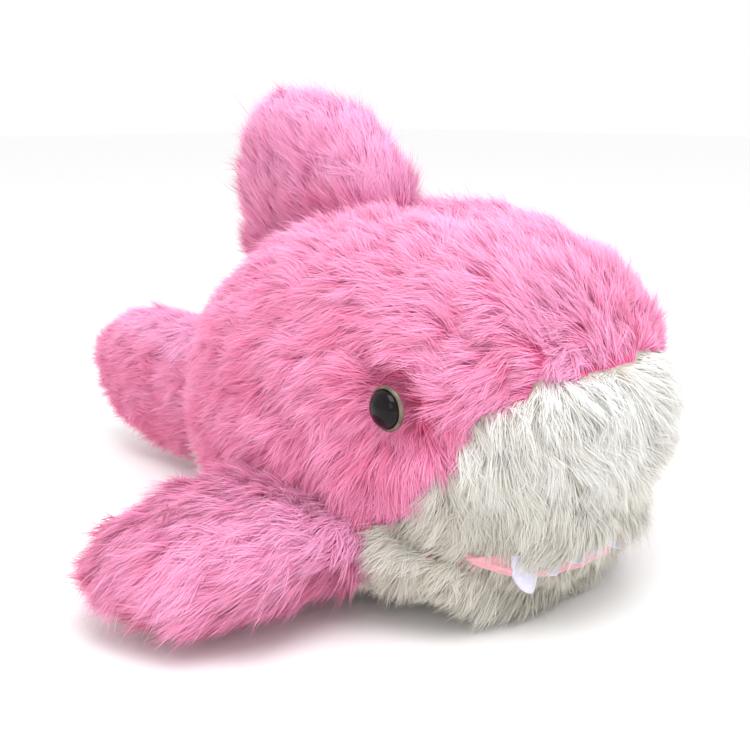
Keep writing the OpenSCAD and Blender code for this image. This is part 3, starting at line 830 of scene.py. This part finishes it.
def inside_of(fields, deep=0.0, reach=9 * MM):
    """A test for points that lie deeper than deep under any of the surfaces."""
    def test(points):
        within = np.zeros(len(points), bool)
        for tree, co, no in fields:
            found = [tree.find(p) for p in points]
            index = np.array([f[1] for f in found])
            near = np.array([f[2] for f in found]) < reach
            within |= near & (((points - co[index]) * no[index]).sum(1) < -deep)
        return within
    return test


fin_fields = [depth_field(skin) for skin in fins.values()]
body_field = depth_field(body)

BODY_PILES = (
    (PINK_PANELS, pink_comb, pink_length, pink_lean, pink_tone, pink_pile, "pink_pile"),
    (WHITE_PANELS, white_comb, white_length, white_lean, white_tone_shaded_low, white_pile, "white_pile"),
)
for panels, comb, length, lean, base, material, slot in BODY_PILES:
    points, facing, tone, widths = grow(
        body, 11 + panels[0], comb, length, lean, base,
        weight=growing(panels), inside=inside_of(fin_fields, 1.0 * MM),
    )
    vertices = blades(points, facing, widths)
    owner = owner_at(points[:, 0])
    for i in panels:
        rows = owner == i
        name = "pile_" + PANELS[i]
        for piece in pile_pieces(name, vertices[rows], tone[rows], material):
            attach(piece, "root")

body.data.materials.append(pink_backing)
body.data.materials.append(white_backing)
body.data.materials.append(pink_lining)
for p in body.data.polygons:
    p.material_index = (0, 0, 1, 1, 2)[int(body_owner[p.vertices[0]])]
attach(body, "root")
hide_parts(*PANELS, "body_filling", "chin_filling", "eye_washer_left", "eye_washer_right")

# ---- Fin pile ---------------------------------------------------------------------

# The way each fin's pile lies
FLOW = {
    "pectoral_left": (-0.30, 1.0, -0.20),
    "pectoral_right": (-0.30, -1.0, -0.20),
    "dorsal_fin": (-0.45, 0.0, 1.0),
    "tail_fin": (-1.0, 0.0, 0.0),
}


def sewn(piece):
    """Bakes the piece's place into its mesh, for a fin's cloth and pile."""
    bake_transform(piece)


def fin_length(p):
    return FIN_PILE * (0.6 + 0.4 * np.clip(p[:, 2] / (14 * MM), 0, 1))


def fin_lean(p):
    return np.full(len(p), 0.92)


for number, (fin, skin) in enumerate(fins.items()):
    flow = np.array(FLOW[fin])
    points, facing, tone, widths = grow(
        skin, 31 + number, lambda p, flow=flow: np.tile(flow, (len(p), 1)),
        fin_length, fin_lean, fin_tone_lit_above, inside=inside_of([body_field], 1.5 * MM),
    )
    for piece in pile_pieces(
        "pile_" + fin, blades(points, facing, widths), tone, pink_pile
    ):
        sewn(piece)
    skin.data.materials.append(pink_backing)
    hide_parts(*FINS[fin])
    sewn(skin)

# ---- Eyes -------------------------------------------------------------------------


def lathe(name, profile, place, axis, segments=96):
    """A turned solid: profile is (radius, height) pairs from the axis out and back."""
    mesh = bpy.data.meshes.new(name)
    turns = [2 * math.pi * i / segments for i in range(segments)]
    spin = Vector(axis).normalized().to_track_quat("Z", "Y")
    points, faces = [], []
    for r, h in profile:
        for t in turns:
            points.append(place + spin @ Vector((r * math.cos(t), r * math.sin(t), h)))
    rings = len(profile)
    for i in range(rings - 1):
        for j in range(segments):
            k = (j + 1) % segments
            below, above = i * segments, (i + 1) * segments
            faces.append((below + j, below + k, above + k, above + j))
    mesh.from_pydata(points, [], faces)
    bm = bmesh.new()
    bm.from_mesh(mesh)
    bmesh.ops.remove_doubles(bm, verts=bm.verts, dist=1e-6)
    bmesh.ops.recalc_face_normals(bm, faces=bm.faces)
    bm.to_mesh(mesh)
    bm.free()
    obj = link(bpy.data.objects.new(name, mesh))
    shade_smooth(obj)
    return obj


RING = (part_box("eye_ring_right")[1].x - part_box("eye_ring_right")[0].x) / 2
PUPIL = RING - 1.3 * MM
DOME = 5.6 * MM
DOME_EDGE = 0.28  # the share of the dome's height that its edge stands at
SEAT = 1.2  # in MM: how deep the eye sits below the ring's middle
EYE_TURN = math.radians(-1)
for side, sign in (("left", 1), ("right", -1)):
    axis = Vector((math.sin(EYE_TURN), sign * math.cos(EYE_TURN), 0))
    base = eyes[side] - axis * SEAT * MM
    bow = [(PUPIL * math.sin(t), DOME * (DOME_EDGE + (1 - DOME_EDGE) * math.cos(t)))
           for t in np.linspace(0, math.pi / 2, 22)]
    dome = lathe(
        "eye_dome_" + side,
        [(max(r, 1e-9), h) for r, h in bow] + [(PUPIL, 0.4 * MM), (PUPIL * 0.9, 0), (1e-9, 0)],
        base, axis,
    )
    on_root(dome, eye_black)
    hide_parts("eye_" + side)
    rim = [
        (PUPIL - 0.25 * MM, 0.2 * MM), (PUPIL + 0.02 * MM, 1.75 * MM),
        (PUPIL + 0.35 * MM, 2.0 * MM), (PUPIL + 0.8 * MM, 1.85 * MM),
        (RING - 0.1 * MM, 1.35 * MM), (RING, 0.9 * MM),
        (RING - 0.1 * MM, 0.2 * MM), (PUPIL - 0.25 * MM, 0.2 * MM),
    ]
    ring = lathe("eye_rim_" + side, rim, base, axis)
    subdivide(ring)
    on_root(ring, eye_ring)
    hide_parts("eye_ring_" + side)

# ---- Mouth ---------------------------------------------------------------------------


def half_surface(obj):
    return sum(p.area for p in obj.data.polygons) / 2


RIPPLE = 0.5 * MM


def cloth_piece(node, name, material):
    """A sheet of cloth made from a CAD node's own shape, finer and slightly rippled.
    Returns it, the node's box and the cloth's area, which is half of its two faces."""
    obj = joined_copy([node], name)
    bm = bmesh.new()
    bm.from_mesh(obj.data)
    bmesh.ops.remove_doubles(bm, verts=bm.verts, dist=1e-6)
    bm.to_mesh(obj.data)
    bm.free()
    subdivide(obj, 2, simple=True)
    co = vertices_of(obj)
    low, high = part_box(node)
    area = half_surface(obj)
    lift = RIPPLE * wander(co * 2, 6)
    set_vertices(obj, co + np.array([0, 0, 1]) * lift[:, None])
    smooth(obj, 1)
    shade_smooth(obj)
    on_root(obj, material)
    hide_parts(node)
    return obj, low, high, area


for node in LININGS:
    lining, low, high, area = cloth_piece(node, node + "_cloth", pink_lining)
FELT = 1.5 * MM  # its thickness
WAVE, WAVES_ROUND = 0.6 * MM, 40
TOOTH_PARTS = 10


def strip(name, places, bend, centre, top, bottom_at, flare_at, rows, material):
    """A hanging strip of cloth on an arc across the mouth. places are distances along it
    from the middle, in metres; bend is the arc's radius and centre the X of its front."""
    bm = bmesh.new()
    layers = []
    for layer in (0, 1):
        grid = []
        for place in places:
            arc = place / bend
            bottom = bottom_at(place)
            line = []
            for i in range(rows + 1):
                t = i / rows
                wave = WAVE * math.sin(WAVES_ROUND * arc)
                r = bend + flare_at(place) * t * t - wave - FELT * layer
                x, y = centre - bend + r * math.cos(arc), r * math.sin(arc)
                line.append(bm.verts.new((x, y, top + (bottom - top) * t)))
            grid.append(line)
        layers.append(grid)
    front, rear = layers
    for j in range(len(places) - 1):
        for i in range(rows):
            bm.faces.new((front[j][i], front[j][i + 1], front[j + 1][i + 1], front[j + 1][i]))
            bm.faces.new((rear[j][i], rear[j + 1][i], rear[j + 1][i + 1], rear[j][i + 1]))
        for i in (0, rows):
            bm.faces.new((front[j][i], front[j + 1][i], rear[j + 1][i], rear[j][i]))
    for j in (0, len(places) - 1):
        for i in range(rows):
            bm.faces.new((front[j][i], rear[j][i], rear[j][i + 1], front[j][i + 1]))
    bmesh.ops.recalc_face_normals(bm, faces=bm.faces)
    mesh = bpy.data.meshes.new(name)
    bm.to_mesh(mesh)
    bm.free()
    obj = link(bpy.data.objects.new(name, mesh))
    subdivide(obj)
    shade_smooth(obj)
    on_root(obj, material)
    return obj


# The felt teeth hang from inside the upper lip, over the fur of the chin
low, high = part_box("felt_teeth")
TEETH = 6
TOOTH = 12 * MM
TEETH_BEND, GUM_BEND = 150 * MM, 96 * MM
STRIP_BACK = 5.5 * MM  # from the CAD strip's front
FLARE, GUM_FLARE = 3.5 * MM, 1.5 * MM
MIDDLE_TEETH = 0.25  # the length of a tooth at the middle, against one at the end
STRIP_TOP, VALLEY, TOOTH_TIP = high.z - 4 * MM, low.z + 1.5 * MM, low.z - 8 * MM
row_half = TEETH * TOOTH / 2


def phase_at(place):
    """0 at a tooth's point and 1 in the valley between two teeth."""
    return abs((place + row_half) / TOOTH % 1 - 0.5) * 2


teeth = strip(
    "teeth_felt", np.linspace(-row_half, row_half, TEETH * TOOTH_PARTS + 1), TEETH_BEND,
    high.x - STRIP_BACK, STRIP_TOP,
    lambda place: VALLEY + (TOOTH_TIP - VALLEY) * (1 - phase_at(place) ** 1.5) ** 0.8
    * (MIDDLE_TEETH + (1 - MIDDLE_TEETH) * (place / row_half) ** 2),
    lambda place: FLARE * (1 - phase_at(place)), 9, white_felt,
)
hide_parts("felt_teeth")
area = half_surface(teeth)

# The lining's edge, turned down inside the upper lip behind the teeth
GUM_HALF = 52 * MM
GUM_DROP = 5 * MM  # below the valleys between the teeth, at the middle
GUM_RISE = 12 * MM  # at its ends
gum = strip(
    "palate_edge", np.linspace(-GUM_HALF, GUM_HALF, 61), GUM_BEND,
    high.x - STRIP_BACK, STRIP_TOP,
    lambda place: VALLEY - GUM_DROP + GUM_RISE * (abs(place) / GUM_HALF) ** 3,
    lambda place: GUM_FLARE, 5, pink_lining,
)
area = half_surface(gum)

# ---- Floor and light ------------------------------------------------------------

FLOOR = 6.0
floor_mesh = bpy.data.meshes.new("floor")
floor_mesh.from_pydata(
    [(-FLOOR, -FLOOR, 0), (FLOOR, -FLOOR, 0), (FLOOR, FLOOR, 0), (-FLOOR, FLOOR, 0)],
    [], [(0, 1, 2, 3)],
)
floor = link(bpy.data.objects.new("floor", floor_mesh))
floor_material, _, floor_shader = new_material("floor")
floor_shader.inputs["Base Color"].default_value = (0.97, 0.97, 0.97, 1)
floor_shader.inputs["Roughness"].default_value = 0.95
floor_mesh.materials.append(floor_material)

world = bpy.data.worlds.new("world")
world.use_nodes = True
world.node_tree.nodes["Background"].inputs["Color"].default_value = (1, 1, 1, 1)
world.node_tree.nodes["Background"].inputs["Strength"].default_value = 1.0
bpy.context.scene.world = world


LIT_POINT = (0, 0, 0.07)


def area_light(name, place, size, power):
    data = bpy.data.lights.new(name, "AREA")
    data.size = size
    data.energy = power
    light = link(bpy.data.objects.new(name, data))
    light.location = place
    light.rotation_mode = "QUATERNION"
    light.rotation_quaternion = (Vector(LIT_POINT) - Vector(place)).to_track_quat("-Z", "Y")


area_light("key", (0.45, -0.25, 1.1), size=0.8, power=9)
area_light("fill", (0.7, -0.9, 0.5), size=0.5, power=1.0)
